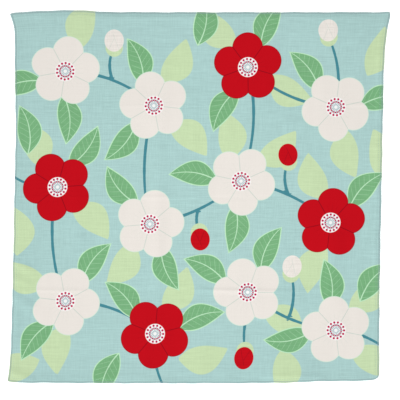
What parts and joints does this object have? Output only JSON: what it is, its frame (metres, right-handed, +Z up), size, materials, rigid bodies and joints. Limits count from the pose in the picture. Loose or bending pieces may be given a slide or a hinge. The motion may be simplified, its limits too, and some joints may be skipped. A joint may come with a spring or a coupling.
{
  "type": "furoshiki wrapping cloth",
  "caption": "Square hemmed cotton wrapping cloth laid out flat, with flared corners, soft low folds and a blossom print on pale aqua.",
  "frame": {"origin": "middle of the cloth's box, on the surface that the cloth lies on", "axes": "+Z up from the surface, out of the printed face; +X towards the cloth's right side and +Y towards its top edge, seen from above"},
  "size_m": [0.5172, 0.5046, 0.0038],
  "materials": {
    "printed_cotton": "matt slub plain-weave cotton, printed on its face"
  },
  "bodies": {
    "root": {"cloth": "printed_cotton"}
  },
  "joints": []
}
